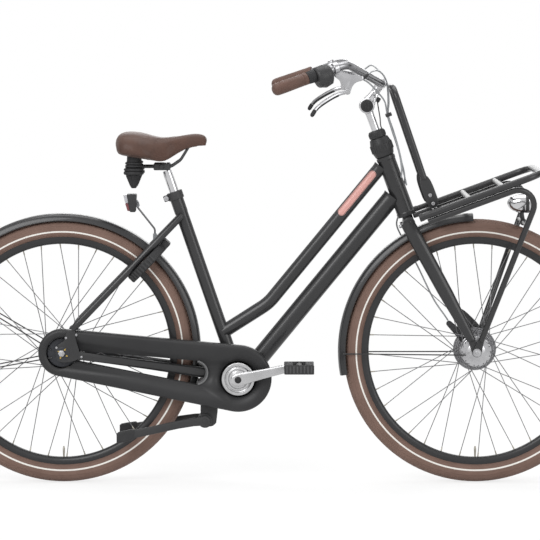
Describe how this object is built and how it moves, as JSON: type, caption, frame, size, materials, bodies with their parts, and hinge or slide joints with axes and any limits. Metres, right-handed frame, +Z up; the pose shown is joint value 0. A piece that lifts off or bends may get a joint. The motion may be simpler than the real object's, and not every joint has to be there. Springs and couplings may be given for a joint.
{
  "type": "city bicycle",
  "caption": "Step-through town bicycle with front carrier, full chain case, mudguards, ring lock, roller brakes, twist gear shifter and padded saddle.",
  "frame": {"origin": "on the ground, midway between the rearmost and foremost points, in the bicycle's middle plane", "axes": "+X forward along the bicycle, +Y to the rider's left, +Z up"},
  "size_m": [1.871, 0.6074, 1.1592],
  "materials": {
    "frame_paint": "satin near-black paint",
    "rim_paint": "black anodised rim",
    "tyre_brown": "brown rubber, matt",
    "spoke_steel": "plain steel wire",
    "hub_alloy": "polished alloy",
    "drive_steel": "bare steel, lightly oiled",
    "crank_alloy": "satin alloy",
    "brake_alloy": "dull cast alloy and disc",
    "bright_chrome": "bright plated",
    "dark_plastic": "moulded, matt",
    "lamp_plastic": "red lens on a grey-black body",
    "headlamp_shell": "plated shell with a clear lens",
    "pedal_rubber": "black rubber blocks",
    "brown_cover": "stitched brown cover",
    "cable_grey": "grey outer casing"
  },
  "bodies": {
    "frame": {"head_tube": "frame_paint", "down_tube": "frame_paint", "top_tube": "frame_paint", "seat_tube": "frame_paint", "chainstays": "frame_paint", "seat_stays": "frame_paint", "seat_clamp": "frame_paint", "chain_case": "frame_paint", "chain": "drive_steel", "rear_axle": "drive_steel", "rear_brake": "brake_alloy", "rear_mudguard": "frame_paint", "ring_lock": "dark_plastic", "rear_lamp": "lamp_plastic", "stand_bracket": "frame_paint", "lock_housing": "dark_plastic"},
    "rear_wheel": {"rear_tyre": "tyre_brown", "rear_rim": "rim_paint", "rear_spokes_left": "spoke_steel", "rear_spokes_right": "spoke_steel", "rear_hub_shell": "hub_alloy"},
    "sprocket": {"rear_sprocket": "drive_steel"},
    "crank_set": {"crank_axle": "drive_steel", "crank_right": "crank_alloy", "crank_left": "crank_alloy"},
    "right_pedal": {"pedal_right": "pedal_rubber"},
    "left_pedal": {"pedal_left": "pedal_rubber"},
    "stand": {"centre_stand": "frame_paint"},
    "lock_bolt": {"ring_lock_bolt": "drive_steel"},
    "seat_post_body": {"seat_post": "bright_chrome"},
    "saddle": {"saddle_undercarriage": "dark_plastic", "saddle_cover": "brown_cover"},
    "steering": {"fork": "frame_paint", "front_axle": "drive_steel", "front_brake": "brake_alloy", "front_mudguard": "frame_paint", "stem_quill": "bright_chrome", "carrier_deck": "frame_paint", "carrier_struts": "frame_paint", "carrier_back": "frame_paint", "headlamp": "headlamp_shell", "cable_front_brake": "cable_grey", "cable_rear_brake": "cable_grey", "cable_shifter": "cable_grey"},
    "front_wheel": {"front_tyre": "tyre_brown", "front_rim": "rim_paint", "front_spokes_left": "spoke_steel", "front_spokes_right": "spoke_steel", "front_hub_shell": "hub_alloy"},
    "cockpit": {"stem_arm": "bright_chrome", "handlebar": "bright_chrome", "grip_left": "brown_cover", "grip_right": "brown_cover", "shifter_housing": "dark_plastic", "brake_bracket_left": "crank_alloy", "brake_bracket_right": "crank_alloy"},
    "twist_shifter": {"shift_grip": "pedal_rubber"},
    "left_lever": {"brake_lever_left": "crank_alloy"},
    "right_lever": {"brake_lever_right": "crank_alloy"}
  },
  "joints": [
    {"name": "rear_wheel_spin", "type": "hinge", "parent": "frame", "child": "rear_wheel", "pos_m": [-0.5575, 0, 0.362], "axis": [0, 1, 0], "continuous": true},
    {"name": "rear_sprocket_spin", "type": "hinge", "parent": "frame", "child": "sprocket", "pos_m": [-0.5575, 0, 0.362], "axis": [0, 1, 0], "continuous": true},
    {"name": "crank_spin", "type": "hinge", "parent": "frame", "child": "crank_set", "pos_m": [-0.0775, 0, 0.291], "axis": [0, 1, 0], "continuous": true},
    {"name": "pedal_right_spin", "type": "hinge", "parent": "crank_set", "child": "right_pedal", "pos_m": [0.08801, -0.1425, 0.32982], "axis": [0, 1, 0], "continuous": true},
    {"name": "pedal_left_spin", "type": "hinge", "parent": "crank_set", "child": "left_pedal", "pos_m": [-0.24301, 0.1425, 0.25218], "axis": [0, 1, 0], "continuous": true},
    {"name": "stand_fold", "type": "hinge", "parent": "frame", "child": "stand", "pos_m": [-0.1685, 0, 0.172], "axis": [0, -1, 0], "range_deg": [0, 115]},
    {"name": "ring_lock_turn", "type": "hinge", "parent": "frame", "child": "lock_bolt", "pos_m": [-0.32802, 0, 0.60332], "axis": [-0.7197, 0, 0.6943], "range_deg": [0, 80]},
    {"name": "seat_post_height", "type": "slide", "parent": "frame", "child": "seat_post_body", "axis": [-0.3256, 0, 0.9455], "range_m": [-0.03, 0.07]},
    {"name": "saddle_tilt", "type": "hinge", "parent": "seat_post_body", "child": "saddle", "pos_m": [-0.2761, 0, 0.86777], "axis": [0, 1, 0], "range_deg": [-10, 10]},
    {"name": "steering_turn", "type": "hinge", "parent": "frame", "child": "steering", "pos_m": [0.3835, 0, 0.73301], "axis": [-0.3453, 0, 0.9385], "range_deg": [-60, 60], "deforming": ["cable_front_brake", "cable_rear_brake", "cable_shifter"]},
    {"name": "front_wheel_spin", "type": "hinge", "parent": "steering", "child": "front_wheel", "pos_m": [0.5735, 0, 0.362], "axis": [0, 1, 0], "continuous": true},
    {"name": "stem_angle", "type": "hinge", "parent": "steering", "child": "cockpit", "pos_m": [0.27311, 0, 1.03305], "axis": [0, 1, 0], "range_deg": [-40, 0]},
    {"name": "shift_twist", "type": "hinge", "parent": "cockpit", "child": "twist_shifter", "pos_m": [0.11783, -0.25308, 1.11644], "axis": [0.8881, 0.3363, 0.3132], "range_deg": [-70, 70]},
    {"name": "brake_lever_left_pull", "type": "hinge", "parent": "cockpit", "child": "left_lever", "pos_m": [0.21511, 0.2368, 1.07705], "axis": [0, 1, 0], "range_deg": [0, 14], "stiffness_Nm_per_rad": 1.5, "springref_deg": -17.19},
    {"name": "brake_lever_right_pull", "type": "hinge", "parent": "cockpit", "child": "right_lever", "pos_m": [0.21511, -0.2368, 1.07705], "axis": [0, 1, 0], "range_deg": [0, 14], "stiffness_Nm_per_rad": 1.5, "springref_deg": -17.19}
  ],
  "couplings": [
    {"joint": "rear_sprocket_spin", "follows": "crank_spin", "ratio": 2}
  ]
}
